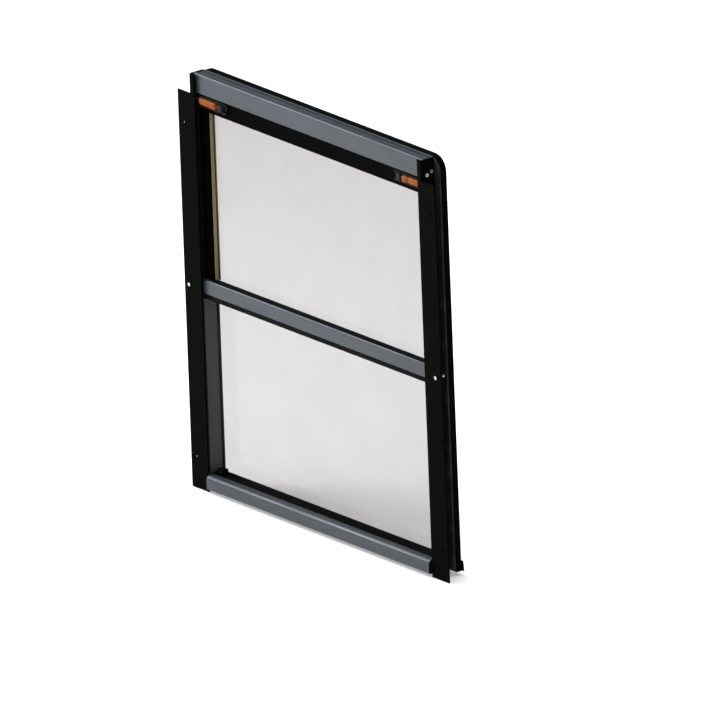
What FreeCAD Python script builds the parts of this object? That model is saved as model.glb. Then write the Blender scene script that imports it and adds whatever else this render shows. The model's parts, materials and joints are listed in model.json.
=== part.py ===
import FreeCAD, Part
import Sketcher
import os
import re

# A two-pane vehicle window: fixed lower glass and an upper sash that drops in
# front of it, held by a sprung pinch latch at each top corner.
# Axes: X across, Y from the inside to the outside, Z up. The origin lies on the
# inner face of the two flanges, at the centre of their four screw holes.

SIZES = [
    ("frame_width", 740, "over the two interior flanges"),
    ("flange_height", 758, "length of an interior flange"),
    ("header_rise", 39.1, "header top above the flange ends"),
    ("flange_width", 48.5, "visible width of a flange"),
    ("flange_thick", 3, "thickness of the flange"),
    ("wall_thick", 2.5, "wall of the frame extrusions"),
    ("channel_depth", 11.5, "flange inner edge to the outside of the jamb"),
    ("liner_thick", 3.5, "plastic track liner and strike rail"),
    ("liner_setback", 9.8, "track liner behind the flange face"),
    ("side_gap", 1, "sash to liner, each side"),
    ("slide_gap", 0.3, "running gap between sliding pieces"),
    ("screw_clear", 0.05, "radial gap round a screw"),
    ("header_height", 36.6, "height of the header face"),
    ("header_setback", 7, "header face behind the flange face"),
    ("bead_rib", 4, "raised ribs along the header top"),
    ("rib_height", 2.2, "height of those ribs"),
    ("strip_height", 3, "header weatherstrip"),
    ("meeting_share", 0.4933, "height of the upper opening over the whole height"),
    ("top_rail_height", 31.2, "sash top rail"),
    ("sash_setback", 15, "sash face behind the flange face"),
    ("bead_depth", 11.5, "sash face to its glass"),
    ("bead_thick", 2, "side glazing beads"),
    ("leg_inset", 2.5, "back legs of the sash section short of the sight line"),
    ("bead_step", 5.5, "sash face to the front of those beads"),
    ("stile_show", 16, "stile seen beside the flange"),
    ("sash_wall", 2, "wall of the sash extrusions"),
    ("glass_thick", 4, "sash glass"),
    ("fixed_thick", 3.2, "fixed glass"),
    ("gasket_thick", 1, "rubber behind each glass"),
    ("back_wall", 1.8, "sash wall behind its glass"),
    ("glass_bite", 9.5, "glass edge held in its groove"),
    ("bite_gap", 1, "bottom of a groove beyond the glass edge"),
    ("bottom_rail_height", 25.5, "sash bottom rail"),
    ("rail_drop", 2.5, "top of that rail below the lift rail"),
    ("lift_setback", 7, "lift rail face behind the flange face"),
    ("lift_height", 26.6, "main face of the lift rail"),
    ("lift_lip", 10.2, "finger lip under that face"),
    ("lift_step", 2, "lip set back from the face"),
    ("strip_thick", 1.5, "rubber strip on top of the lift rail"),
    ("meeting_gap", 2.2, "sash back to the fixed meeting rail"),
    ("meeting_height", 18.5, "fixed meeting rail"),
    ("meeting_drop", 9.5, "top of that rail below the lift rail"),
    ("meeting_wall", 1.7, "meeting rail wall in front of the glass"),
    ("pile_height", 6, "woven pile strips"),
    ("sill_height", 26.2, "sill extrusion"),
    ("sill_lift", 6.6, "sill bottom above the flange ends"),
    ("sill_nose", 6, "sill in front of the flange face"),
    ("nose_radius", 8.5, "rounding of the sill nose"),
    ("sill_ledge", 16.4, "plain sill top, front to back"),
    ("sill_step", 3, "ribbed gasket on the sill"),
    ("glass_pocket", 12, "sill top down to the glass ledge"),
    ("ledge_thick", 3.3, "ledge under the fixed glass"),
    ("block_height", 3, "setting blocks"),
    ("ring_overhang", 16, "exterior ring beyond the jamb"),
    ("ring_thick", 12.5, "exterior ring, inside to outside"),
    ("ring_lip", 1.6, "lip of the ring behind the glass"),
    ("rim_depth", 4.5, "outer rim of the ring behind that lip"),
    ("ring_rise", 1.1, "ring top above the header top"),
    ("lip_set", 3.5, "opening of the ring lip beyond the flange edge, each side"),
    ("ring_radius", 30, "rounded top corners of the ring"),
    ("lip_radius", 20, "rounded corners of the ring lip"),
    ("edge_radius", 2.5, "rounded outer edge of the ring"),
    ("lip_drop", 3.3, "lower edge of the ring lip below the sill top"),
    ("ring_foot", 7, "ring bottom above the flange ends"),
    ("drip_height", 19.5, "drip rail along the ring bottom"),
    ("drip_depth", 2.5, "drip rail behind the ring"),
    ("drip_reach", 3, "drip rail beyond the ring, each side"),
    ("seal_thick", 3.7, "rubber seal in front of the ring"),
    ("seal_inset", 2, "seal edge inside the ring edge"),
    ("hole_inset", 15, "flange screws from the outer edge"),
    ("hole_end", 60, "flange screws from the flange ends"),
    ("middle_rise", 9.5, "middle flange screw above mid height"),
    ("hole_radius", 2.6, "flange screw holes"),
    ("latch_drop", 8, "latch below the header"),
    ("latch_height", 12, "height of a latch"),
    ("latch_length", 48, "length of a latch"),
    ("latch_setback", 7, "latch face behind the flange face"),
    ("latch_travel", 5, "stroke of a latch"),
    ("latch_inset", 4.5, "latch end inside the flange edge"),
    ("latch_foot", 1.55, "foot of the latch under its guide"),
    ("foot_thick", 1.6, "thickness of that foot"),
    ("plate_thick", 2.5, "latch plate"),
    ("guide_width", 2.4, "guide bars of the latch plate"),
    ("lug_length", 14, "raised finger lug of a latch"),
    ("lug_height", 3.5, "lug in front of the latch face"),
    ("rest_length", 12, "finger rest beside a latch"),
    ("rest_spare", 1.2, "finger rest to latch, beyond its stroke"),
    ("rest_rise", 1.5, "finger rest in front of the latch face"),
    ("bolt_height", 8, "latch bolt"),
    ("bolt_thick", 3, "latch bolt"),
    ("bolt_inset", 1.4, "bolt behind the latch face"),
    ("bolt_bite", 3, "bolt engaged in the strike rail"),
    ("slot_gap", 0.75, "strike slot round the bolt"),
    ("coil_radius", 1.9, "latch spring, to the wire centre"),
    ("wire_radius", 0.35, "latch spring wire"),
    ("coil_pitch", 2.6, "latch spring pitch"),
    ("coil_bore", 12, "spring bore in the latch"),
    ("screw_head", 3.5, "screw head radius"),
    ("screw_shank", 2.1, "screw shank radius"),
    ("head_thick", 2, "screw head"),
    ("stop_height", 9, "rubber stops on the sill"),
    ("stop_gap", 1, "sash above its stops when fully down"),
    ("cap_thick", 1.5, "end caps of the sill nose"),
]

# Sizes that follow from the ones above.
DERIVED = {
    "half_width": "frame_width / 2",
    "clear_half": "half_width - flange_width",
    "body_half": "clear_half + channel_depth",
    "wall_in": "body_half - wall_thick",
    "track_half": "wall_in - liner_thick",
    "sash_half": "track_half - side_gap",
    "stile_in": "clear_half - stile_show",
    "ring_half": "body_half + ring_overhang",
    "lip_half": "clear_half + lip_set",
    "pane_half": "stile_in + glass_bite",
    "top": "flange_height / 2 + header_rise",
    "bottom": "-flange_height / 2",
    "header_bottom": "top - header_height",
    "sash_top": "header_bottom - strip_height - slide_gap",
    "top_rail_bottom": "sash_top - top_rail_height",
    "lift_top": "top - meeting_share * (top - bottom)",
    "rail_top": "lift_top - rail_drop",
    "rail_bottom": "rail_top - bottom_rail_height",
    "lift_foot": "lift_top - lift_height",
    "stop_top": "sill_top + stop_height",
    "meeting_top": "lift_top - meeting_drop",
    "meeting_bottom": "meeting_top - meeting_height",
    "sill_bottom": "bottom + sill_lift",
    "sill_top": "sill_bottom + sill_height",
    "ledge_top": "sill_top - glass_pocket",
    "ledge_bottom": "ledge_top - ledge_thick",
    "drop_travel": "rail_bottom - stop_top - stop_gap",
    "glass_front": "sash_setback + bead_depth",
    "glass_back": "glass_front + glass_thick",
    "groove_back": "glass_back + gasket_thick",
    "sash_back": "groove_back + back_wall",
    "meeting_front": "sash_back + meeting_gap",
    "fixed_front": "meeting_front + meeting_wall",
    "fixed_back": "fixed_front + fixed_thick",
    "lip_front": "fixed_back + gasket_thick",
    "lip_back": "lip_front + ring_lip",
    "ring_back": "lip_back + rim_depth",
    "ring_front": "ring_back - ring_thick",
    "seal_front": "ring_front - seal_thick",
    "ring_bottom": "bottom + ring_foot",
    "ring_top": "top + ring_rise",
    "band_bottom": "ledge_bottom - 0.2",
    "latch_z": "header_bottom - latch_drop - latch_height / 2",
    "latch_out": "clear_half - latch_inset",
    "latch_in": "latch_out - latch_length",
    "latch_back": "sash_setback - plate_thick - slide_gap",
    "rest_gap": "latch_travel + rest_spare",
    "rest_out": "latch_in - rest_gap",
    "rest_in": "rest_out - rest_length",
    "plate_in": "rest_in - 8",
    "foot_half": "latch_height / 2 + latch_foot",
    "guide_half": "foot_half + slide_gap",
    "bolt_front": "latch_setback + bolt_inset",
    "bolt_in": "latch_out - 18",
    "bolt_out": "track_half + bolt_bite",
    "port_x": "sash_half - 6",
    "port_y": "sash_setback + 6",
}

PLANES = {"x": "YZ_Plane", "y": "XZ_Plane", "z": "XY_Plane"}
AXES = {"x": "X_Axis", "y": "Y_Axis", "z": "Z_Axis"}

doc = FreeCAD.newDocument("drop_sash_window")
sheet = doc.addObject("Spreadsheet::Sheet", "Sizes")
for row, (name, size, note) in enumerate(SIZES, start=1):
    sheet.set(f"A{row}", name)
    sheet.set(f"B{row}", str(size))
    sheet.set(f"C{row}", note)
    sheet.setAlias(f"B{row}", name)
doc.recompute()

nodes = []


def formula(text):
    """Spell a formula out in the cells of the sheet."""
    def cell(word):
        name = word.group()
        if name in DERIVED:
            return "(" + formula(DERIVED[name]) + ")"
        return "Sizes." + name
    return re.sub(r"[a-z][a-z_]+", cell, text)


def value(text):
    return float(sheet.evalExpression(formula(text)))


def new_body(name):
    body = doc.addObject("PartDesign::Body", name)
    body.Label = name
    body.AllowCompound = True
    nodes.append(body)
    return body


def origin_part(body, role):
    return next(o for o in body.Origin.OriginFeatures if o.Role == role)


def rect(u0, v0, u1, v1):
    return [(u0, v0), (u1, v0), (u1, v1), (u0, v1)]


def circle(u, v, radius):
    return (u, v, radius)


def tie(sketch, kind, geo, point, text):
    """Hold one coordinate of a sketch point with a formula."""
    index = sketch.addConstraint(Sketcher.Constraint(kind, -1, 1, geo, point, value(text)))
    sketch.setExpression(f"Constraints[{index}]", formula(text))


def draw_circle(sketch, u, v, radius):
    centre = FreeCAD.Vector(value(u), value(v), 0)
    up = FreeCAD.Vector(0, 0, 1)
    geo = sketch.addGeometry(Part.Circle(centre, up, value(radius)))
    index = sketch.addConstraint(Sketcher.Constraint("Radius", geo, value(radius)))
    sketch.setExpression(f"Constraints[{index}]", formula(radius))
    tie(sketch, "DistanceX", geo, 3, u)
    tie(sketch, "DistanceY", geo, 3, v)


def draw_polygon(sketch, points):
    corners = [FreeCAD.Vector(value(u), value(v), 0) for u, v in points]
    first = sketch.GeometryCount
    count = len(corners)
    for i in range(count):
        sketch.addGeometry(Part.LineSegment(corners[i], corners[(i + 1) % count]))
    for i in range(count):
        joint = (first + i, 2, first + (i + 1) % count, 1)
        sketch.addConstraint(Sketcher.Constraint("Coincident", *joint))
    for i, (u, v) in enumerate(points):
        same_u = i and u == points[i - 1][0]
        same_v = i and v == points[i - 1][1]
        if same_u:
            sketch.addConstraint(Sketcher.Constraint("Vertical", first + i - 1))
        else:
            tie(sketch, "DistanceX", first + i, 1, u)
        if same_v:
            sketch.addConstraint(Sketcher.Constraint("Horizontal", first + i - 1))
        else:
            tie(sketch, "DistanceY", first + i, 1, v)


def new_sketch(body, axis, level, loops):
    """A sketch square to an axis, at a level along it."""
    sketch = body.newObject("Sketcher::SketchObject", "Sketch")
    sketch.AttachmentSupport = [(origin_part(body, PLANES[axis]), "")]
    sketch.MapMode = "FlatFace"
    height = f"-({level})" if axis == "y" else level
    sketch.setExpression("AttachmentOffset.Base.z", formula(height))
    for loop in loops:
        if isinstance(loop, tuple):
            draw_circle(sketch, *loop)
        else:
            draw_polygon(sketch, loop)
    doc.recompute()
    return sketch


def add(body, axis, start, end, loops):
    """Pad closed outlines along an axis, from start to end."""
    sketch = new_sketch(body, axis, end if axis == "y" else start, loops)
    pad = body.newObject("PartDesign::Pad", "Pad")
    pad.Profile = sketch
    pad.setExpression("Length", formula(f"({end}) - ({start})"))
    doc.recompute()
    return pad


def cut(body, axis, start, end, loops):
    """Pocket closed outlines along an axis, from start to end."""
    sketch = new_sketch(body, axis, start if axis == "y" else end, loops)
    pocket = body.newObject("PartDesign::Pocket", "Pocket")
    pocket.Profile = sketch
    pocket.setExpression("Length", formula(f"({end}) - ({start})"))
    doc.recompute()
    return pocket


def repeat(body, feature, axis, length, count):
    """Repeat a feature down an axis."""
    pattern = body.newObject("PartDesign::LinearPattern", "Pattern")
    pattern.Originals = [feature]
    pattern.Direction = (origin_part(body, AXES[axis]), [""])
    pattern.Reversed = True
    pattern.setExpression("Length", formula(length))
    pattern.Occurrences = count
    body.Tip = pattern
    doc.recompute()


def soften(body, radius, lines):
    """Round the straight edges that run through the given lines.

    A line is a triple of formulas with None for the axis it runs along."""
    base = body.Tip
    picked = []
    for number, edge in enumerate(base.Shape.Edges, start=1):
        ends = [vertex.Point for vertex in edge.Vertexes]
        for line in lines:
            near = [
                abs(end[axis] - value(text)) < 1e-4
                for end in ends
                for axis, text in enumerate(line)
                if text is not None
            ]
            if all(near):
                picked.append(f"Edge{number}")
    fillet = body.newObject("PartDesign::Fillet", "Fillet")
    fillet.Base = (base, picked)
    fillet.setExpression("Radius", formula(radius))
    doc.recompute()


def bar(name, axis, start, end, loops):
    """A body that is one extruded section."""
    body = new_body(name)
    add(body, axis, start, end, loops)
    return body


def screws(name, axis, places, head, shank, radii):
    """Round-headed screws along an axis, all in one node."""
    body = new_body(name)
    head_radius, shank_radius = radii
    add(body, axis, *head, [circle(u, v, head_radius) for u, v in places])
    add(body, axis, *shank, [circle(u, v, shank_radius) for u, v in places])
    return body


class Side:
    """The left or right half: turns distances from the middle into X."""

    def __init__(self, name, sign):
        self.name = name
        self.sign = sign

    def x(self, text):
        return text if self.sign > 0 else f"-({text})"

    def span(self, near, far):
        return (near, far) if self.sign > 0 else (self.x(far), self.x(near))

    def flip(self, points):
        return [(self.x(u), v) for u, v in points]


SIDES = [Side("left", -1), Side("right", 1)]


def both(text):
    return [f"-({text})", text]


# --- Frame ---------------------------------------------------------------

HEADER_SCREWS = [
    ("header_setback + 6", "header_bottom + 6.3"),
    ("header_setback + 17", "header_bottom + 11.5"),
]

for side in SIDES:
    # The jamb is an angle: flange towards the room, wall back to the ring.
    jamb = bar(f"{side.name}_jamb", "z", "bottom", "top", [side.flip([
        ("clear_half", "0"), ("half_width", "0"), ("half_width", "flange_thick"),
        ("body_half", "flange_thick"), ("body_half", "lip_front"),
        ("wall_in", "lip_front"), ("wall_in", "flange_thick"),
        ("clear_half", "flange_thick"),
    ])])
    # Above its end the flange is trimmed back to the wall.
    cut(jamb, "y", "-1", "flange_thick", [rect(
        side.x("body_half"), "flange_height / 2", side.x("half_width + 1"), "top + 1")])
    # Room for the ring and its seal, which pass behind header and sill.
    for low, high in (("top - ring_radius - 2", "top + 1"), ("bottom - 1", "band_bottom")):
        cut(jamb, "x", *side.span("wall_in - 1", "body_half + 1"), [
            rect("seal_front", low, "lip_front + 1", high)])
    cut(jamb, "y", "-1", "flange_thick + 1", [
        circle(side.x("half_width - hole_inset"), z, "hole_radius")
        for z in ("flange_height / 2 - hole_end", "middle_rise", "hole_end - flange_height / 2")])
    cut(jamb, "x", *side.span("wall_in - 1", "body_half + 1"), [
        circle(y, z, "screw_shank + screw_clear") for y, z in HEADER_SCREWS])
    soften(jamb, "1", [(side.x("half_width"), "0", None), (side.x("clear_half"), "0", None)])

# The header is a hollow box with a raised rib along each edge of its top.
header = bar("header", "x", "-wall_in", "wall_in", [
    [("header_setback", "header_bottom"), ("header_setback", "top"),
     ("header_setback + bead_rib", "top"), ("header_setback + bead_rib", "top - rib_height"),
     ("seal_front - bead_rib", "top - rib_height"), ("seal_front - bead_rib", "top"),
     ("seal_front", "top"), ("seal_front", "header_bottom")],
    rect("header_setback + wall_thick", "header_bottom + wall_thick",
         "seal_front - wall_thick", "top - rib_height - wall_thick"),
])
add(header, "x", "-wall_in", "wall_in", [
    rect(f"{y} - 0.6", "top - rib_height", f"{y} + 0.6", "top - rib_height + 1")
    for y in ("header_setback + 8", "header_setback + 13", "header_setback + 18")])
soften(header, "3", [(None, "header_setback", "top")])
soften(header, "0.8", [(None, "header_setback", "header_bottom")])

for side in SIDES:
    block = bar(f"{side.name}_header_block", "x", *side.span("wall_in - 24", "wall_in"), [
        rect("header_setback + wall_thick", "header_bottom + wall_thick",
             "seal_front - wall_thick", "top - rib_height - wall_thick")])
    cut(block, "x", *side.span("wall_in - 19", "wall_in + 1"), [
        circle(y, z, "screw_shank + screw_clear") for y, z in HEADER_SCREWS])
    fixing = screws(
        f"{side.name}_header_screws", "x", HEADER_SCREWS,
        side.span("body_half", "body_half + head_thick"),
        side.span("body_half - 18", "body_half"), ("screw_head", "screw_shank"))
    for y, z in HEADER_SCREWS:
        cut(fixing, "x", *side.span("body_half + head_thick / 2", "body_half + head_thick + 1"), [
            [(f"{y} - 2.6", f"{z} - 0.45"), (f"{y} + 2.6", f"{z} - 0.45"),
             (f"{y} + 2.6", f"{z} + 0.45"), (f"{y} - 2.6", f"{z} + 0.45")]])

strip = bar("header_weatherstrip", "x", "-track_half", "track_half", [
    rect("sash_setback + 3", "header_bottom - strip_height", "sash_setback + 13", "header_bottom")])
soften(strip, "1.2", [
    (None, "sash_setback + 3", "header_bottom - strip_height"),
    (None, "sash_setback + 13", "header_bottom - strip_height")])

# The sill: rounded nose, plain top, a step for the gasket, a ledge for the glass.
sill = bar("sill", "x", "-wall_in", "wall_in", [
    [("-sill_nose", "sill_bottom"), ("-sill_nose", "sill_top"),
     ("sill_ledge - sill_nose", "sill_top"), ("sill_ledge - sill_nose", "sill_top - sill_step"),
     ("fixed_front", "sill_top - sill_step"), ("fixed_front", "ledge_top"),
     ("lip_front", "ledge_top"), ("lip_front", "ledge_bottom"),
     ("seal_front", "ledge_bottom"), ("seal_front", "sill_bottom")],
    [("wall_thick - sill_nose", "sill_bottom + wall_thick"),
     ("wall_thick - sill_nose", "sill_top - nose_radius"),
     ("nose_radius - sill_nose", "sill_top - wall_thick"),
     ("sill_ledge - sill_nose - wall_thick", "sill_top - wall_thick"),
     ("sill_ledge - sill_nose - wall_thick", "sill_top - sill_step - wall_thick"),
     ("seal_front - wall_thick", "sill_top - sill_step - wall_thick"),
     ("seal_front - wall_thick", "sill_bottom + wall_thick")],
])
for side in SIDES:
    cut(sill, "z", "sill_bottom - 1", "sill_top + 1", [rect(
        side.x("clear_half - cap_thick"), "-sill_nose - 1", side.x("wall_in + 1"), "flange_thick")])
    cap = bar(f"{side.name}_sill_cap", "x", *side.span("clear_half - cap_thick", "clear_half"), [
        rect("-sill_nose", "sill_bottom", "flange_thick", "sill_top")])
    soften(cap, "nose_radius", [(None, "-sill_nose", "sill_top")])
    soften(cap, "2", [(None, "-sill_nose", "sill_bottom")])
    bar(f"{side.name}_sash_stop", "z", "sill_top", "stop_top", [rect(
        side.x("clear_half - 20"), "sash_setback + 2", side.x("clear_half - 4"), "sash_back - 3")])
soften(sill, "nose_radius", [(None, "-sill_nose", "sill_top")])
soften(sill, "2", [(None, "-sill_nose", "sill_bottom")])

gasket = bar("sill_gasket", "x", "-wall_in", "wall_in", [
    rect("sill_ledge - sill_nose", "sill_top - sill_step", "fixed_front", "sill_top")])
cut(gasket, "x", "-wall_in - 1", "wall_in + 1", [
    rect(f"sill_ledge - sill_nose + {3 + 3.6 * i}", "sill_top - 1.2",
         f"sill_ledge - sill_nose + {4.6 + 3.6 * i}", "sill_top + 1")
    for i in range(6)])

bar("setting_blocks", "z", "ledge_top", "ledge_top + block_height", [
    rect(f"{x} - 25", "fixed_front", f"{x} + 25", "fixed_back") for x in both("clear_half / 2")])

bar("fixed_glass", "y", "fixed_front", "fixed_back", [rect(
    "-wall_in + 0.5", "ledge_top + block_height",
    "wall_in - 0.5", "meeting_bottom + glass_bite")])

glass_seal = new_body("fixed_glass_gasket")
add(glass_seal, "y", "fixed_back", "lip_front", [[
    ("-wall_in", "meeting_bottom"), ("-wall_in", "ledge_top"),
    ("wall_in", "ledge_top"), ("wall_in", "meeting_bottom"),
    ("lip_half", "meeting_bottom"), ("lip_half", "sill_top - lip_drop"),
    ("-lip_half", "sill_top - lip_drop"), ("-lip_half", "meeting_bottom")]])

meeting = bar("fixed_meeting_rail", "x", "-wall_in", "wall_in", [[
    ("meeting_front", "meeting_bottom"), ("meeting_front", "meeting_top"),
    ("lip_front", "meeting_top"), ("lip_front", "meeting_bottom"),
    ("fixed_back", "meeting_bottom"), ("fixed_back", "meeting_bottom + glass_bite"),
    ("fixed_front", "meeting_bottom + glass_bite"), ("fixed_front", "meeting_bottom")]])
soften(meeting, "0.6", [(None, "meeting_front", "meeting_top")])
bar("meeting_pile", "x", "-sash_half", "sash_half", [rect(
    "sash_back + slide_gap", "meeting_top - 10", "meeting_front", "meeting_top - 10 + pile_height")])

for side in SIDES:
    liner_span = side.span("track_half", "wall_in")
    bar(f"{side.name}_track_liner", "x", *liner_span, [
        rect("liner_setback", "sill_top", "fixed_front", "meeting_bottom")])
    strike = bar(f"{side.name}_strike_rail", "x", *liner_span, [
        rect("flange_thick", "meeting_bottom", "meeting_front", "header_bottom - 2")])
    slot = cut(strike, "x", *side.span("track_half - 1", "wall_in + 1"), [
        rect("bolt_front - slot_gap", "latch_z - bolt_height / 2 - slot_gap",
             "bolt_front + bolt_thick + slot_gap", "latch_z + bolt_height / 2 + slot_gap")])
    repeat(strike, slot, "z", "drop_travel", 7)


def arch(half, low, high):
    return rect(f"-({half})", low, half, high)


def arch_tops(outline):
    """The two upper corners of an arch, as lines to round."""
    right, high = outline[2]
    return [(f"-({right})", None, high), (right, None, high)]


# The ring round the outside: two rounded corners above, square below.
RING_OPENING = arch("body_half", "band_bottom", "top - ring_overhang")
LIP_OPENING = arch("lip_half", "sill_top - lip_drop", "top - ring_overhang - 12")

ring_outline = arch("ring_half", "ring_bottom", "ring_top")
ring = bar("exterior_ring", "y", "ring_front", "ring_back", [ring_outline])
soften(ring, "ring_radius", arch_tops(ring_outline))
soften(ring, "edge_radius", [(None, "ring_back", "ring_top")])
cut(ring, "y", "ring_front", "lip_front", [RING_OPENING])
soften(ring, "ring_radius - ring_overhang", arch_tops(RING_OPENING))
cut(ring, "y", "lip_back", "ring_back + 1", [RING_OPENING])
cut(ring, "y", "lip_front - 1", "lip_back + 1", [LIP_OPENING])
soften(ring, "lip_radius", arch_tops(LIP_OPENING))
bar("drip_rail", "x", "-ring_half - drip_reach", "ring_half + drip_reach", [[
    ("ring_back", "ring_bottom"), ("ring_back", "ring_bottom + drip_height"),
    ("ring_back + drip_depth / 3", "ring_bottom + drip_height"),
    ("ring_back + drip_depth", "ring_bottom + drip_height / 3"),
    ("ring_back + drip_depth", "ring_bottom")]])

seal_outline = arch("ring_half - seal_inset", "ring_bottom + seal_inset", "ring_top - seal_inset")
seal = bar("exterior_seal", "y", "seal_front", "ring_front", [seal_outline])
soften(seal, "ring_radius - seal_inset", arch_tops(seal_outline))
cut(seal, "y", "seal_front - 1", "ring_front + 1", [RING_OPENING])
soften(seal, "ring_radius - ring_overhang", arch_tops(RING_OPENING))

screws("flange_middle_screws", "y",
       [(x, "middle_rise") for x in both("half_width - hole_inset")],
       ("-head_thick", "0"), ("0", "flange_thick + 15"),
       ("screw_head", "hole_radius - screw_clear"))

# --- Sash ----------------------------------------------------------------

GLASS_GROOVE = "(glass_bite + bite_gap)"

top_rail = bar("sash_top_rail", "x", "-sash_half", "sash_half", [
    [("sash_setback", "top_rail_bottom"), ("sash_setback", "sash_top"),
     ("sash_back", "sash_top"), ("sash_back", "top_rail_bottom"),
     ("groove_back", "top_rail_bottom"), ("groove_back", f"top_rail_bottom + {GLASS_GROOVE}"),
     ("glass_front", f"top_rail_bottom + {GLASS_GROOVE}"), ("glass_front", "top_rail_bottom")],
    rect("sash_setback + sash_wall", f"top_rail_bottom + {GLASS_GROOVE} + sash_wall",
         "groove_back", "sash_top - sash_wall")])
bottom_rail = bar("sash_bottom_rail", "x", "-sash_half", "sash_half", [[
    ("sash_setback", "rail_bottom"), ("sash_setback", "rail_top"),
    ("glass_front", "rail_top"), ("glass_front", f"rail_top - {GLASS_GROOVE}"),
    ("groove_back", f"rail_top - {GLASS_GROOVE}"), ("groove_back", "rail_top - leg_inset"),
    ("sash_back", "rail_top - leg_inset"), ("sash_back", "rail_bottom"),
    ("groove_back", "rail_bottom"),
    ("groove_back", f"rail_top - {GLASS_GROOVE} - sash_wall"),
    ("sash_setback + sash_wall", f"rail_top - {GLASS_GROOVE} - sash_wall"),
    ("sash_setback + sash_wall", "rail_bottom")]])
port = [(side.x("port_x"), "port_y") for side in SIDES]
for rail, low, high in (
    (top_rail, "top_rail_bottom - 1", "sash_top - sash_wall"),
    (bottom_rail, f"rail_top - {GLASS_GROOVE} - sash_wall - 1", "rail_top + 1"),
):
    cut(rail, "z", low, high, [circle(x, y, "screw_shank + screw_clear") for x, y in port])
cut(top_rail, "z", "sash_top - sash_wall - 1", "sash_top + 1", [
    circle(x, y, "screw_head + 0.3") for x, y in port])

for side in SIDES:
    stile = bar(f"{side.name}_sash_stile", "z", "rail_top", "top_rail_bottom", [
        side.flip([
            ("stile_in", "sash_setback"), ("sash_half", "sash_setback"),
            ("sash_half", "sash_back"), ("stile_in + leg_inset", "sash_back"),
            ("stile_in + leg_inset", "groove_back"), (f"stile_in + {GLASS_GROOVE}", "groove_back"),
            (f"stile_in + {GLASS_GROOVE}", "glass_front"), ("stile_in", "glass_front")]),
        side.flip(rect(
            "stile_in + sash_wall", "sash_setback + sash_wall",
            "port_x - screw_shank - 1.5", "glass_front - sash_wall")),
        circle(side.x("port_x"), "port_y", "screw_shank + screw_clear")])
    soften(stile, "0.5", [(side.x("stile_in"), "sash_setback", None)])
    bar(f"{side.name}_glazing_bead", "z", "rail_top", "top_rail_bottom", [
        side.flip(rect("stile_in - bead_thick", "sash_setback + bead_step",
                       "stile_in", "glass_front"))])
    bar(f"{side.name}_glazing_tape", "z", "rail_top", "top_rail_bottom", [
        side.flip(rect("stile_in - bead_thick", "glass_back", "pane_half", "groove_back"))])
    bar(f"{side.name}_sash_pile", "z", "rail_top + 10", "top_rail_bottom - 10", [
        side.flip(rect("sash_half", "port_y - 2.5", "track_half - slide_gap", "port_y + 2.5"))])

corner = new_body("sash_corner_screws")
for start, end, radius in (
    (f"top_rail_bottom + {GLASS_GROOVE} + sash_wall",
     f"top_rail_bottom + {GLASS_GROOVE} + sash_wall + head_thick", "screw_head - 0.3"),
    ("top_rail_bottom - 15", f"top_rail_bottom + {GLASS_GROOVE} + sash_wall", "screw_shank"),
    (f"rail_top - {GLASS_GROOVE} - sash_wall - head_thick",
     f"rail_top - {GLASS_GROOVE} - sash_wall", "screw_head - 0.3"),
    (f"rail_top - {GLASS_GROOVE} - sash_wall", "rail_top + 15", "screw_shank"),
):
    add(corner, "z", start, end, [circle(x, y, radius) for x, y in port])

bar("sash_glass", "y", "glass_front", "glass_back", [rect(
    "-pane_half", "rail_top - glass_bite", "pane_half", "top_rail_bottom + glass_bite")])
bar("sash_gasket", "y", "glass_back", "groove_back", [
    rect("-pane_half", "rail_top - glass_bite", "pane_half", "rail_top - leg_inset"),
    rect("-pane_half", "top_rail_bottom", "pane_half", "top_rail_bottom + glass_bite")])

lift = bar("lift_rail", "x", "-sash_half", "sash_half", [[
    ("lift_setback", "lift_foot"), ("lift_setback", "lift_top"),
    ("sash_setback", "lift_top"), ("sash_setback", "lift_top - 6"),
    ("lift_setback + sash_wall", "lift_top - 6"), ("lift_setback + sash_wall", "lift_foot + 2"),
    ("sash_setback", "lift_foot + 2"), ("sash_setback", "lift_foot")]])
soften(lift, "2.8", [(None, "lift_setback", "lift_top")])
soften(lift, "0.8", [(None, "lift_setback", "lift_foot")])
bar("lift_rail_seal", "x", "-sash_half", "sash_half", [[
    ("lift_setback + lift_step", "lift_foot - lift_lip"), ("lift_setback + lift_step", "lift_foot"),
    ("sash_setback", "lift_foot"), ("sash_setback", "lift_foot - 1.5"),
    ("lift_setback + lift_step + 3", "lift_foot - 3.5"),
    ("lift_setback + lift_step + 2", "lift_foot - lift_lip")]])
bar("lift_rail_strip", "x", "bead_thick - stile_in", "stile_in - bead_thick", [[
    ("lift_setback + 3", "lift_top"), ("sash_setback", "lift_top"), ("sash_setback", "rail_top"),
    ("glass_front", "rail_top"), ("glass_front", "rail_top + strip_thick"),
    ("sash_setback", "lift_top + strip_thick"), ("lift_setback + 3", "lift_top + strip_thick")]])

# --- Latches -------------------------------------------------------------

PLATE_SCREWS = ["rest_in - 4", "latch_out - 16"]

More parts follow.
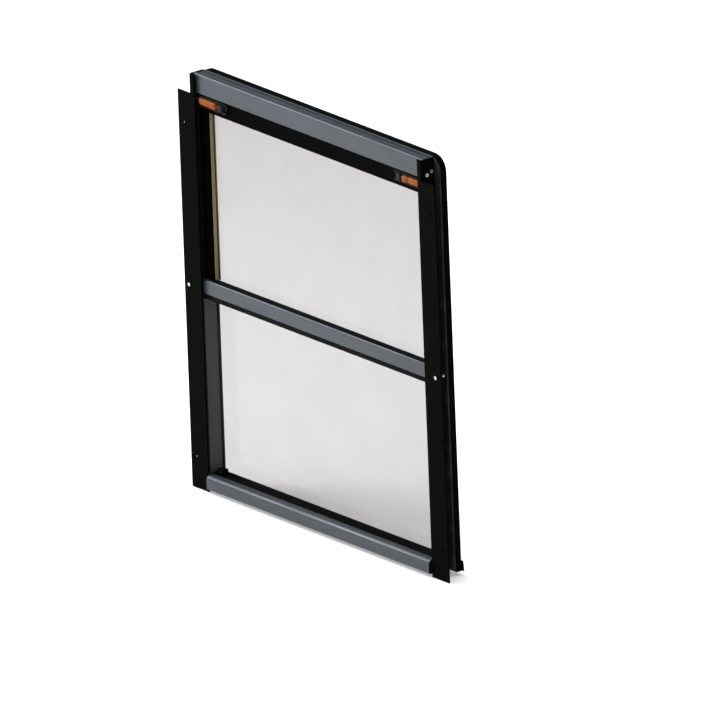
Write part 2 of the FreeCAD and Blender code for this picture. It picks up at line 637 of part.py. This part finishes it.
for side in SIDES:
    half = "latch_height / 2"
    plate_front = "sash_setback - plate_thick"
    foot_front = "latch_back - foot_thick"
    hook = f"{foot_front} - slide_gap"
    profile = [
        ("sash_setback", "-(guide_half + guide_width)"), ("sash_setback", "guide_half + guide_width"),
        (f"{hook} - 1.5", "guide_half + guide_width"), (f"{hook} - 1.5", f"{half} + slide_gap"),
        (hook, f"{half} + slide_gap"), (hook, "guide_half"),
        (plate_front, "guide_half"), (plate_front, "-guide_half"),
        (hook, "-guide_half"), (hook, f"-({half} + slide_gap)"),
        (f"{hook} - 1.5", f"-({half} + slide_gap)"),
        (f"{hook} - 1.5", "-(guide_half + guide_width)")]
    plate = bar(f"{side.name}_latch_plate", "x", *side.span("plate_in", "latch_out + 2"), [
        [(y, f"latch_z + {z}") for y, z in profile]])
    plate_points = [(side.x(x), "latch_z") for x in PLATE_SCREWS]
    cut(plate, "y", f"{plate_front} - 1", "sash_setback + 1", [
        circle(x, z, "1.5 + screw_clear") for x, z in plate_points])
    cut(plate, "y", f"{plate_front} - 1", f"{plate_front} + 1.5", [
        circle(x, z, "2.6 + screw_clear") for x, z in plate_points])
    fixing = new_body(f"{side.name}_latch_screws")
    add(fixing, "y", f"{plate_front} + 0.1", f"{plate_front} + 1.5", [
        circle(x, z, "2.6") for x, z in plate_points])
    add(fixing, "y", f"{plate_front} + 1.5", "sash_setback + sash_wall + 2", [
        circle(x, z, "1.5") for x, z in plate_points])
    cut(top_rail, "y", "sash_setback - 1", "sash_setback + sash_wall + 3", [
        circle(x, z, "1.5 + screw_clear") for x, z in plate_points])

    rest = bar(f"{side.name}_finger_rest", "y", "latch_setback - rest_rise", plate_front, [rect(
        side.x("rest_in"), f"latch_z - {half}", side.x("rest_out"), f"latch_z + {half}")])
    soften(rest, "5", [(side.x("rest_in"), "latch_setback - rest_rise", None)])
    soften(rest, "1", [(side.x("rest_out"), "latch_setback - rest_rise", None)])

    latch = bar(f"{side.name}_latch", "x", *side.span("latch_in", "latch_out"), [[
        ("latch_setback", f"latch_z - {half}"), ("latch_setback", f"latch_z + {half}"),
        (foot_front, f"latch_z + {half}"), (foot_front, "latch_z + foot_half"),
        ("latch_back", "latch_z + foot_half"), ("latch_back", "latch_z - foot_half"),
        (foot_front, "latch_z - foot_half"), (foot_front, f"latch_z - {half}")]])
    add(latch, "y", "latch_setback - lug_height", "latch_setback", [rect(
        side.x("latch_in"), f"latch_z - {half}",
        side.x("latch_in + lug_length"), f"latch_z + {half}")])
    soften(latch, "1.2", [(side.x(x), "latch_setback - lug_height", None)
                          for x in ("latch_in", "latch_in + lug_length")])
    cut(latch, "y", "latch_setback - 1", "latch_setback + 1", [
        rect(side.x("latch_in + lug_length + 9"), f"latch_z - {half} - 1",
             side.x("latch_in + lug_length + 13"), f"latch_z + {half} + 1")])
    cut(latch, "x", *side.span("latch_in - 1", "latch_in + coil_bore"), [
        circle("latch_back - 2.6", "latch_z", "coil_radius + wire_radius + 0.3")])
    bolt_section = rect("bolt_front", "latch_z - bolt_height / 2",
                        "bolt_front + bolt_thick", "latch_z + bolt_height / 2")
    cut(latch, "x", *side.span("bolt_in", "latch_out + 1"), [bolt_section])
    bolt = bar(f"{side.name}_bolt", "x", *side.span("bolt_in", "bolt_out"), [bolt_section])
    soften(bolt, "1", [(side.x("bolt_out"), "bolt_front", None),
                       (side.x("bolt_out"), "bolt_front + bolt_thick", None)])

    # The coil spring bears on the finger rest and on the end of its bore.
    length = value("rest_gap + coil_bore") - 2 * value("wire_radius")
    helix = Part.makeHelix(value("coil_pitch"), length, value("coil_radius"))
    wire = Part.Wire(Part.makeCircle(
        value("wire_radius"), FreeCAD.Vector(value("coil_radius"), 0, 0),
        FreeCAD.Vector(0, 1, 0)))
    coil = doc.addObject("Part::Feature", f"{side.name}_latch_spring")
    coil.Label = f"{side.name}_latch_spring"
    coil.Shape = Part.Wire(helix).makePipeShell([wire], True, True)
    start = side.sign * (value("rest_out") + value("wire_radius"))
    coil.Placement = FreeCAD.Placement(
        FreeCAD.Vector(start, value("latch_back - 2.6"), value("latch_z")),
        FreeCAD.Rotation(FreeCAD.Vector(0, 1, 0), 90 * side.sign))
    nodes.append(coil)

doc.recompute()

os.makedirs("parts", exist_ok=True)
for obj in doc.Objects:
    if "Invalid" in obj.State or "Error" in obj.State:
        raise SystemExit(f"{obj.Name} did not recompute: {obj.State}")
for node in nodes:
    if node.Shape.isNull() or not node.Shape.isValid():
        raise SystemExit(f"{node.Label} has no valid shape")
    node.Shape.exportStep(f"parts/{node.Label}.step")
print(len(nodes), "nodes")
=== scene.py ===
import json
import math

import bmesh
import bpy
from mathutils import Matrix, Vector


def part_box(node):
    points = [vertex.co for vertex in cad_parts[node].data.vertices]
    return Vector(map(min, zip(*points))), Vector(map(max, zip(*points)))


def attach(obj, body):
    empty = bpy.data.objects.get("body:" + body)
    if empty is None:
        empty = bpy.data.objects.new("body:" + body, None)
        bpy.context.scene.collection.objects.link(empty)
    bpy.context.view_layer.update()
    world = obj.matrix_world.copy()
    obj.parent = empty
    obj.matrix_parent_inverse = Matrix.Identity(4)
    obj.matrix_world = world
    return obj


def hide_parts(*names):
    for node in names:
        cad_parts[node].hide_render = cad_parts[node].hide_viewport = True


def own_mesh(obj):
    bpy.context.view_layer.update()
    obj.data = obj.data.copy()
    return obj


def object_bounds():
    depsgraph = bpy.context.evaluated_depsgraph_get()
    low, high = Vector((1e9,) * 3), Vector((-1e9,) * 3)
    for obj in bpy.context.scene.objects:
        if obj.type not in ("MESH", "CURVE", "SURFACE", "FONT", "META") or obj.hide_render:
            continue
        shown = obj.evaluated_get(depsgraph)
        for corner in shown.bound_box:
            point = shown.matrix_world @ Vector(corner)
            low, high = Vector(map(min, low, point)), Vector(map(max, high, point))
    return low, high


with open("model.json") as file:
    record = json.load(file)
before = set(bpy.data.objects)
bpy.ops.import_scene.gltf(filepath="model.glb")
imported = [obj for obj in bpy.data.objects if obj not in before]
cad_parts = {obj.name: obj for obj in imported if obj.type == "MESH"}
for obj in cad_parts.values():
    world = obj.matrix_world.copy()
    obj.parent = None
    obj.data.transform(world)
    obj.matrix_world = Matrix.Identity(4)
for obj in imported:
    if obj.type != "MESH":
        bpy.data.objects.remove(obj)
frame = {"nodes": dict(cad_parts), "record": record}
CAD_BOX = [list(map(float, corner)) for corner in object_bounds()]
NODES = frame["nodes"]


# --- Material nodes --------------------------------------------------------

class Paint:
    """A principled material with small helpers for procedural detail."""

    def __init__(self, name, color, roughness, **sockets):
        self.material = bpy.data.materials.new(name)
        self.material.use_nodes = True
        self.tree = self.material.node_tree
        self.shader = self.tree.nodes["Principled BSDF"]
        self.place = self.node("ShaderNodeTexCoord").outputs["Object"]
        self.heights = []
        self.put("Base Color", (*color, 1))
        self.put("Roughness", roughness)
        for socket, setting in sockets.items():
            self.put(socket.replace("_", " "), setting)

    def node(self, kind, **settings):
        made = self.tree.nodes.new(kind)
        for key, setting in settings.items():
            setattr(made, key, setting)
        return made

    def put(self, socket, setting):
        self.shader.inputs[socket].default_value = setting

    def link(self, source, target):
        self.tree.links.new(source, target)

    def stretched(self, scale):
        """Object coordinates, scaled on each axis."""
        mapping = self.node("ShaderNodeMapping")
        mapping.inputs["Scale"].default_value = scale
        self.link(self.place, mapping.inputs["Vector"])
        return mapping.outputs["Vector"]

    def noise(self, scale, detail=3.0):
        """Noise of so many cells a metre on each axis."""
        texture = self.node("ShaderNodeTexNoise")
        texture.inputs["Scale"].default_value = 1.0
        texture.inputs["Detail"].default_value = detail
        self.link(self.stretched(scale), texture.inputs["Vector"])
        return texture.outputs["Fac"]

    def ramp(self, source, low, high, start=0.35, end=0.65):
        """Spread a 0 to 1 source between two numbers."""
        spread = self.node("ShaderNodeMapRange")
        settings = {"From Min": start, "From Max": end, "To Min": low, "To Max": high}
        for key, setting in settings.items():
            spread.inputs[key].default_value = setting
        self.link(source, spread.inputs["Value"])
        return spread.outputs["Result"]

    def mix(self, factor, first, second):
        """Blend two colours; either may be a socket."""
        blend = self.node("ShaderNodeMix", data_type="RGBA")
        self.link(factor, blend.inputs[0])
        for socket, color in ((blend.inputs[6], first), (blend.inputs[7], second)):
            if isinstance(color, tuple):
                socket.default_value = (*color, 1)
            else:
                self.link(color, socket)
        return blend.outputs[2]

    def color(self, source):
        self.link(source, self.shader.inputs["Base Color"])

    def rough(self, source):
        self.link(source, self.shader.inputs["Roughness"])

    def bump(self, source, depth):
        """Add relief of a depth in metres."""
        relief = self.node("ShaderNodeBump")
        relief.inputs["Distance"].default_value = depth
        relief.inputs["Strength"].default_value = 1.0
        self.link(source, relief.inputs["Height"])
        if self.heights:
            self.link(self.heights[-1], relief.inputs["Normal"])
        self.heights.append(relief.outputs["Normal"])
        self.link(relief.outputs["Normal"], self.shader.inputs["Normal"])


def tint(color, factor):
    return tuple(min(1.0, c * factor) for c in color)


def powder_coat(name, color, roughness, level):
    """Satin powder coat: orange peel, faint dust and rubbed patches."""
    paint = Paint(name, color, roughness, Specular_IOR_Level=level)
    cloud = paint.noise((9, 9, 4), 4)
    fine = paint.noise((420, 420, 420), 2)
    paint.color(paint.mix(paint.ramp(cloud, 0, 1), color, tint(color, 1.7)))
    paint.rough(paint.ramp(cloud, roughness - 0.06, roughness + 0.08))
    paint.bump(fine, 0.00006)
    return paint.material


def extrusion(name, color, roughness, metallic):
    """Grey anodised extrusion with die lines along its length."""
    paint = Paint(name, color, roughness, Metallic=metallic, Specular_IOR_Level=0.4)
    lines = paint.noise((1.5, 900, 900), 2)
    cloud = paint.noise((6, 30, 30), 4)
    grain = paint.noise((700, 700, 700), 1)
    shade = paint.mix(paint.ramp(lines, 0, 1), tint(color, 0.9), tint(color, 1.12))
    paint.color(paint.mix(paint.ramp(cloud, 0, 0.5), shade, tint(color, 0.86)))
    paint.rough(paint.ramp(cloud, roughness - 0.05, roughness + 0.08))
    paint.bump(lines, 0.00003)
    paint.bump(grain, 0.00001)
    return paint.material


def rubber(name, color):
    paint = Paint(name, color, 0.62, Specular_IOR_Level=0.03)
    fine = paint.noise((600, 600, 600), 3)
    dust = paint.noise((40, 25, 25), 5)
    paint.color(paint.mix(paint.ramp(dust, 0, 1, 0.5, 0.8), color, tint(color, 2.4)))
    paint.rough(paint.ramp(fine, 0.55, 0.72))
    paint.bump(fine, 0.00005)
    return paint.material


def moulded(name, color, roughness, level=0.35, grain=0.00003):
    """Injection moulded plastic with a fine spark-eroded grain."""
    paint = Paint(name, color, roughness, Specular_IOR_Level=level)
    fine = paint.noise((1100, 1100, 1100), 2)
    flow = paint.noise((50, 50, 50), 3)
    paint.color(paint.mix(paint.ramp(flow, 0, 1), tint(color, 0.93), tint(color, 1.08)))
    paint.rough(paint.ramp(fine, roughness - 0.05, roughness + 0.07))
    paint.bump(fine, grain)
    return paint.material


def extruded_plastic(name, color, roughness):
    """Plastic strip with faint draw lines down its length."""
    paint = Paint(name, color, roughness, Specular_IOR_Level=0.25)
    lines = paint.noise((500, 500, 2), 2)
    cloud = paint.noise((30, 30, 8), 4)
    paint.color(paint.mix(paint.ramp(cloud, 0, 1), tint(color, 0.9), tint(color, 1.07)))
    paint.rough(paint.ramp(lines, roughness - 0.05, roughness + 0.05))
    paint.bump(lines, 0.00003)
    return paint.material


def metal(name, color, roughness, stretch):
    """Plated steel with drawing or turning marks."""
    paint = Paint(name, color, roughness, Metallic=1.0)
    marks = paint.noise(stretch, 3)
    paint.color(paint.mix(paint.ramp(marks, 0, 1), tint(color, 0.82), color))
    paint.rough(paint.ramp(marks, roughness - 0.08, roughness + 0.1))
    paint.bump(marks, 0.00002)
    return paint.material


def pile(name, color):
    paint = Paint(name, color, 0.9, Sheen_Weight=0.4, Specular_IOR_Level=0.05)
    tufts = paint.noise((1400, 1400, 1400), 2)
    paint.color(paint.mix(paint.ramp(tufts, 0, 1), tint(color, 0.5), tint(color, 2.2)))
    paint.bump(tufts, 0.0004)
    return paint.material


def pane(name, color, edge, alpha):
    """Tempered glass: clear faces, ground green edges, a faint film of dust."""
    edge_alpha = 0.75
    paint = Paint(name, color, 0.04, Specular_IOR_Level=0.3)
    geometry = paint.node("ShaderNodeNewGeometry")
    split = paint.node("ShaderNodeSeparateXYZ")
    paint.link(geometry.outputs["True Normal"], split.inputs["Vector"])
    facing = paint.node("ShaderNodeMath", operation="ABSOLUTE")
    paint.link(split.outputs["Y"], facing.inputs[0])
    face = facing.outputs["Value"]
    paint.color(paint.mix(face, edge, color))
    film = paint.noise((14, 14, 14), 5)
    dusty = paint.ramp(film, alpha * 0.985, alpha * 1.02)
    rim = paint.node("ShaderNodeMix", data_type="FLOAT")
    paint.link(face, rim.inputs[0])
    rim.inputs[2].default_value = edge_alpha
    paint.link(dusty, rim.inputs[3])
    paint.link(rim.outputs[0], paint.shader.inputs["Alpha"])
    paint.rough(paint.ramp(film, 0.02, 0.09))
    return paint.material


MATERIALS = {
    "black_frame": powder_coat("black_frame", (0.0009, 0.0009, 0.0007), 0.5, 0.008),
    "black_ring": powder_coat("black_ring", (0.0008, 0.0008, 0.0008), 0.45, 0.008),
    "black_sash": powder_coat("black_sash", (0.0006, 0.0006, 0.0006), 0.45, 0.006),
    "dark_strike": powder_coat("dark_strike", (0.003, 0.003, 0.003), 0.5, 0.04),
    "grey_extrusion": extrusion("grey_extrusion", (0.0292, 0.0386, 0.0475), 0.38, 0.24),
    "mill_aluminium": extrusion("mill_aluminium", (0.5, 0.5, 0.52), 0.3, 0.9),
    "zinc_screw": metal("zinc_screw", (0.42, 0.42, 0.43), 0.32, (900, 900, 900)),
    "black_screw": metal("black_screw", (0.03, 0.03, 0.03), 0.45, (900, 900, 900)),
    "spring_steel": metal("spring_steel", (0.4, 0.4, 0.42), 0.3, (2000, 2000, 2000)),
    "bolt_steel": metal("bolt_steel", (0.42, 0.42, 0.43), 0.3, (60, 900, 900)),
    "black_rubber": rubber("black_rubber", (0.0025, 0.0025, 0.0027)),
    # seal_rubber is painted far lighter than black_rubber: painted fill light that lifts the seal
    # out of the shadow the flange casts on it.
    "seal_rubber": rubber("seal_rubber", (0.024, 0.024, 0.024)),
    "woven_pile": pile("woven_pile", (0.01, 0.01, 0.01)),
    "clear_glass": pane("clear_glass", (0.035, 0.014, 0.018), (0.08, 0.2, 0.15), 0.36),
    "grey_liner": extruded_plastic("grey_liner", (0.062, 0.063, 0.062), 0.55),
    "tan_bead": extruded_plastic("tan_bead", (0.24, 0.195, 0.1), 0.5),
    # tan_tape: the tape's own tan, made lighter than the bead's as painted fill light for the
    # shade it sits in behind the glass.
    "tan_tape": extruded_plastic("tan_tape", (0.58, 0.48, 0.24), 0.7),
    "black_nylon": moulded("black_nylon", (0.004, 0.004, 0.004), 0.5, 0.06),
    "grey_finger_rest": moulded("grey_finger_rest", (0.01, 0.01, 0.0105), 0.5, 0.12),
    "orange_latch": moulded("orange_latch", (0.215, 0.05, 0.0006), 0.32, 0.08),
}

for entry in frame["record"]["subparts"]:
    slots = NODES[entry["node"]].data.materials
    for index in range(len(slots)):
        slots[index] = MATERIALS[entry["material_slot"]]


# --- Finger latches ----------------------------------------------------------

SHARP = math.radians(25)
BEVEL = 0.0003


def piece(name, points, faces, slot, body, bevelled=False):
    """A smooth closed mesh that rides on a body, with its sharp edges rounded on request."""
    mesh = bpy.data.meshes.new(name)
    mesh.from_pydata(points, [], faces)
    made = bpy.data.objects.new(name, mesh)
    bpy.context.scene.collection.objects.link(made)
    mesh.materials.append(MATERIALS[slot])
    skin = bmesh.new()
    skin.from_mesh(mesh)
    bmesh.ops.recalc_face_normals(skin, faces=skin.faces)
    if bevelled:
        sharp = [e for e in skin.edges if e.calc_face_angle(0) > SHARP]
        bmesh.ops.bevel(skin, geom=sharp, offset=BEVEL, segments=2, profile=0.5,
                        affect="EDGES", clamp_overlap=True)
    skin.to_mesh(mesh)
    skin.free()
    mesh.shade_smooth()
    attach(made, body)
    return made


def solid(name, outline, low, high, slot, body):
    """A prism with an outline in X and Y, from low to high in Z, with rounded edges."""
    count = len(outline)
    points = [(x, y, z) for z in (low, high) for x, y in outline]
    faces = [tuple(range(count - 1, -1, -1)), tuple(range(count, 2 * count))]
    faces += [(i, (i + 1) % count, (i + 1) % count + count, i + count) for i in range(count)]
    return piece(name, points, faces, slot, body, bevelled=True)


def lobe(distance, start, end, height):
    """How far a rounded lobe stands out, at a distance along the latch."""
    across = (2 * distance - start - end) / (end - start)
    return height * max(0.0, 1 - across ** 2) ** 0.4


def loft(name, rings, slot, body):
    """A closed skin over a row of outlines that all have the same number of points."""
    count = len(rings[0])
    points = [point for ring in rings for point in ring]
    faces = [tuple(range(count)), tuple(range(len(points) - count, len(points)))]
    for start in range(0, len(points) - count, count):
        for i in range(count):
            j = (i + 1) % count
            faces.append((start + i, start + j, start + count + j, start + count + i))
    return piece(name, points, faces, slot, body)


def latch(side, sign):
    """The moulded slider: two rounded lobes, with grip ridges on the inner one."""
    low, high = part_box(f"{side}_latch")
    body = f"{side}_latch"
    length = high.x - low.x
    inner = low.x if sign > 0 else high.x
    foot, reach, rounding, corner = 0.0016, 0.00155, 0.0018, 0.0026
    back, face = high.y - foot, low.y + 0.0035
    middle, half = (high.z + low.z) / 2, (high.z - low.z) / 2 - reach
    waist, waist_depth, waist_width = 0.0175, 0.0006, 0.002
    first_grip, grip_pitch, grip_half = 0.0046, 0.0027, 0.0005
    grip_out, grip_in = 0.0002, 0.001

    def rise(distance):
        return max(lobe(distance, 0, waist, 0.0033), lobe(distance, waist, length, 0.0016))

    rings = []
    steps = 56
    for step in range(steps + 1):
        distance = length * (1 - math.cos(math.pi * step / steps)) / 2
        near = min(distance, length - distance) / rounding
        inset = rounding * (1 - math.sqrt(1 - (1 - near) ** 2)) if near < 1 else 0.0
        pinch = waist_depth * math.exp(-((distance - waist) / waist_width) ** 2)
        tall = half - inset - pinch
        front = face - rise(distance) + inset
        outline = [(back, -tall)]
        for quarter in range(7):
            turn = math.radians(15 * quarter)
            outline.append((front + corner * (1 - math.sin(turn)),
                            -tall + corner * (1 - math.cos(turn))))
        outline += [(y, -z) for y, z in reversed(outline)]
        rings.append([(inner + sign * distance, y, middle + z) for y, z in outline])
    pieces = [loft(f"{side}_latch_slider", rings, "orange_latch", body)]
    pieces.append(solid(f"{side}_latch_foot", [
        (low.x, back), (high.x, back), (high.x, high.y), (low.x, high.y)],
        low.z, high.z, "orange_latch", body))
    for index in range(4):
        distance = first_grip + grip_pitch * index
        x, y = inner + sign * distance, face - rise(distance)
        pieces.append(solid(f"{side}_latch_grip_{index + 1}", [
            (x - grip_half, y - grip_out), (x + grip_half, y - grip_out),
            (x + grip_half, y + grip_in), (x - grip_half, y + grip_in)],
            middle - half + corner, middle + half - corner, "orange_latch", body))
    for made in pieces:
        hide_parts(f"{side}_latch")


for side, sign in (("left", -1), ("right", 1)):
    latch(side, sign)
for side, sign in (("left", -1), ("right", 1)):
    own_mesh(NODES[f"{side}_latch_spring"])


# --- Stage -----------------------------------------------------------------

def floor():
    """A pale floor just under the part, bright enough to keep its shadow faint."""
    low, reach = CAD_BOX[0][2] - 0.001, 12.0
    mesh = bpy.data.meshes.new("floor")
    mesh.from_pydata(
        [(-reach, -reach, low), (reach, -reach, low), (reach, reach, low), (-reach, reach, low)],
        [], [(0, 1, 2, 3)])
    made = bpy.data.objects.new("floor", mesh)
    bpy.context.scene.collection.objects.link(made)
    paint = Paint("floor", (0.8, 0.8, 0.8), 0.9, Specular_IOR_Level=0.0)
    paint.put("Emission Color", (1, 1, 1, 1))
    paint.put("Emission Strength", 0.3)
    mesh.materials.append(paint.material)


def softbox(name, place, size, power):
    """A rectangular lamp that faces the middle of the part."""
    data = bpy.data.lights.new(name, "AREA")
    data.shape = "RECTANGLE"
    data.size, data.size_y = size
    data.energy = power
    lamp = bpy.data.objects.new(name, data)
    bpy.context.scene.collection.objects.link(lamp)
    lamp.location = place
    lamp.rotation_euler = (-Vector(place)).to_track_quat("-Z", "Y").to_euler()


def camera():
    """A parallel view, 52 degrees round from the front and a little above."""
    azimuth, elevation, roll = (math.radians(a) for a in (52.05, 19.34, 2.17))
    width, distance = 1.296, 6
    aside, below = 0.08442, 0.0432
    data = bpy.data.cameras.new("camera")
    data.type = "ORTHO"
    data.ortho_scale = width
    data.clip_end = 50
    made = bpy.data.objects.new("camera", data)
    bpy.context.scene.collection.objects.link(made)
    towards = Vector((math.sin(azimuth) * math.cos(elevation),
                      -math.cos(azimuth) * math.cos(elevation), math.sin(elevation)))
    turned = towards.to_track_quat("Z", "Y") @ Matrix.Rotation(-roll, 4, "Z").to_quaternion()
    right, up = turned @ Vector((1, 0, 0)), turned @ Vector((0, 1, 0))
    made.rotation_euler = turned.to_euler()
    made.location = towards * distance + right * aside - up * below
    bpy.context.scene.camera = made


def sky(ground, zenith, front):
    """White surround that is brightest overhead and in front of the window."""
    world = bpy.data.worlds.new("studio")
    bpy.context.scene.world = world
    world.use_nodes = True
    tree = world.node_tree
    where = tree.nodes.new("ShaderNodeTexCoord")
    split = tree.nodes.new("ShaderNodeSeparateXYZ")
    tree.links.new(where.outputs["Generated"], split.inputs["Vector"])
    total = None
    for axis, low, high in (("Z", ground, zenith), ("Y", front, 0.0)):
        spread = tree.nodes.new("ShaderNodeMapRange")
        for key, setting in {"From Min": -1, "From Max": 1, "To Min": low, "To Max": high}.items():
            spread.inputs[key].default_value = setting
        tree.links.new(split.outputs[axis], spread.inputs["Value"])
        if total is None:
            total = spread.outputs["Result"]
        else:
            add = tree.nodes.new("ShaderNodeMath")
            tree.links.new(total, add.inputs[0])
            tree.links.new(spread.outputs["Result"], add.inputs[1])
            total = add.outputs["Value"]
    background = tree.nodes["Background"]
    background.inputs["Color"].default_value = (1, 1, 1, 1)
    tree.links.new(total, background.inputs["Strength"])


floor()
sky(0.08, 0.34, 0.38)
softbox("key", (-0.8, -2.6, 0.0), (2.0, 0.7), 22)
softbox("top", (0.0, 0.3, 2.8), (2.6, 2.0), 80)
softbox("edge", (-2.3, -1.2, 1.8), (1.3, 2.6), 120)
camera()
bpy.context.scene.view_settings.view_transform = "Standard"
